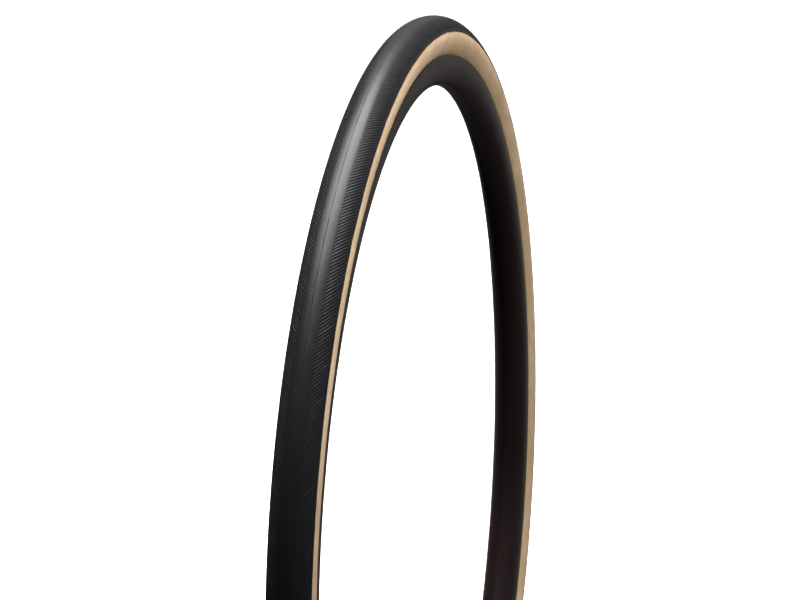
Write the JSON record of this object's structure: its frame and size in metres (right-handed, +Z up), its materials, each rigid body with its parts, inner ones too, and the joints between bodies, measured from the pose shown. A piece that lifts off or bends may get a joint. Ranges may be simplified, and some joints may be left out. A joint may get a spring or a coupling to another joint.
{
  "type": "bicycle tire",
  "caption": "Road bicycle tire with smooth crown, file tread shoulders and tan sidewalls, on a black hollow rim hoop with inner tube and presta valve.",
  "frame": {"origin": "centre of the wheel, midway between the two sidewalls", "axes": "+Y along the wheel's axis, +Z up, the valve at the bottom (-Z) and pointing up at the centre"},
  "size_m": [0.6859, 0.032, 0.6858],
  "materials": {
    "tread_rubber": "satin black rubber",
    "belt_fabric": "woven aramid strip in rubber",
    "cotton_casing": "tan cotton ply with a thin clear rubber coat",
    "bead_fibre": "wound aramid cord",
    "chafer_fabric": "rubbered nylon strip",
    "tube_rubber": "dusty butyl rubber",
    "rim_black": "satin black anodised",
    "bare_aluminium": "bare extruded aluminium",
    "rim_tape_plastic": "matte nylon strip",
    "nickel_brass": "nickel plated",
    "bare_brass": "machined brass",
    "cap_plastic": "matte black moulding"
  },
  "bodies": {
    "wheel": {"tread_cap": "tread_rubber", "puncture_belt": "belt_fabric", "casing_ply": "cotton_casing", "bead_core_left": "bead_fibre", "bead_core_right": "bead_fibre", "chafer_left": "chafer_fabric", "chafer_right": "chafer_fabric", "inner_tube": "tube_rubber", "tube_valve_patch": "tube_rubber", "rim": "rim_black", "rim_joint_sleeve": "bare_aluminium", "rim_tape": "rim_tape_plastic", "valve_stem": "nickel_brass", "valve_core_gasket": "tube_rubber", "valve_core": "bare_brass"},
    "pin": {"valve_pin": "bare_brass", "valve_pin_seal": "tube_rubber"},
    "thumb_nut": {"valve_thumb_nut": "nickel_brass"},
    "lock_ring": {"valve_lock_ring": "nickel_brass"},
    "cap": {"valve_cap": "cap_plastic"}
  },
  "joints": [
    {"name": "cap_lift", "type": "slide", "parent": "wheel", "child": "cap", "axis": [0, 0, 1], "range_m": [0, 0.03]},
    {"name": "lock_ring_travel", "type": "slide", "parent": "wheel", "child": "lock_ring", "axis": [0, 0, 1], "range_m": [0, 0.022]},
    {"name": "pin_press", "type": "slide", "parent": "wheel", "child": "pin", "axis": [0, 0, 1], "range_m": [-0.002, 0]},
    {"name": "thumb_nut_travel", "type": "slide", "parent": "pin", "child": "thumb_nut", "axis": [0, 0, 1], "range_m": [0, 0.0025]}
  ],
  "couplings": [
    {"joint": "pin_press", "follows": "thumb_nut_travel", "ratio": -0.8}
  ]
}
